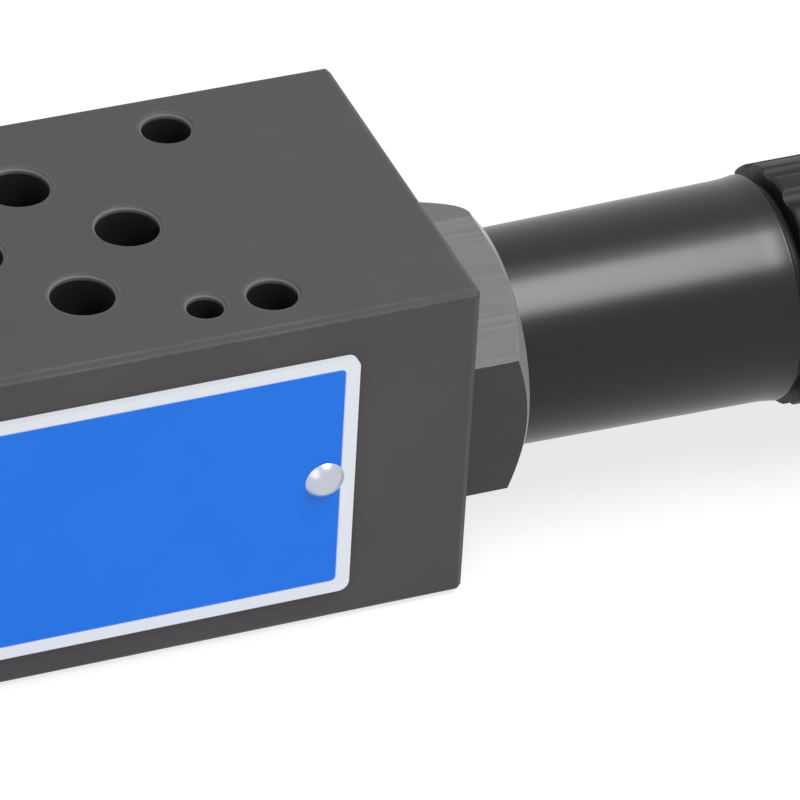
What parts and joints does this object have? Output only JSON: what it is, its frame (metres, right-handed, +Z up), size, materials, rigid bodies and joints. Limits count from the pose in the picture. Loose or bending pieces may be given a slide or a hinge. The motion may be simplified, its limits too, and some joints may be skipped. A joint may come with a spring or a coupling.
{
  "type": "throttle valve",
  "caption": "Sandwich hydraulic throttle valve: ported iron block with a screwed-in throttle cartridge, smooth barrel and ribbed adjusting knob on one end.",
  "frame": {"origin": "middle of the port pattern on the lower mounting face", "axes": "+X along the adjuster towards the knob, +Z up from the mounting face, the name plate faces -Y"},
  "size_m": [0.1479, 0.0469, 0.04],
  "materials": {
    "phosphated_iron": "phosphated, matte",
    "plate_blue": "printed, satin",
    "rivet_aluminium": "bright",
    "plated_steel": "turned, zinc plated",
    "hardened_steel": "ground",
    "bright_steel": "turned",
    "black_steel": "blackened",
    "barrel_black": "gloss black",
    "knob_plastic": "moulded, satin",
    "cap_plastic": "moulded, satin",
    "insert_brass": "turned",
    "seal_rubber": "moulded",
    "backup_plastic": "satin"
  },
  "bodies": {
    "valve": {"valve_body": "phosphated_iron", "name_plate": "plate_blue", "plate_rivet_right": "rivet_aluminium", "plate_rivet_left": "rivet_aluminium", "port_seal_p": "seal_rubber", "port_seal_a": "seal_rubber", "port_seal_b": "seal_rubber", "port_seal_t": "seal_rubber", "seat_bush": "hardened_steel", "cartridge_body": "plated_steel", "nose_seal": "seal_rubber", "nose_backup_ring": "backup_plastic", "flange_seal": "seal_rubber", "spool_seal": "seal_rubber", "spool_backup_ring": "backup_plastic", "stop_ring": "black_steel", "bonnet_sleeve": "barrel_black"},
    "spool": {"throttle_spool": "hardened_steel"},
    "adjuster": {"adjusting_screw": "bright_steel", "control_knob": "knob_plastic", "hub_ring": "seal_rubber", "knob_insert": "insert_brass", "knob_washer": "bright_steel", "knob_screw": "black_steel", "knob_cap": "cap_plastic"}
  },
  "joints": [
    {"name": "spool_lift", "type": "slide", "parent": "valve", "child": "spool", "axis": [1, 0, 0], "range_m": [0, 0.004]},
    {"name": "knob_turn", "type": "hinge", "parent": "spool", "child": "adjuster", "pos_m": [0.0837, -0.0053, 0.02], "axis": [1, 0, 0], "range_deg": [0, 1440]}
  ],
  "couplings": [
    {"joint": "knob_turn", "follows": "spool_lift", "rad_per_m": 6283.2}
  ]
}
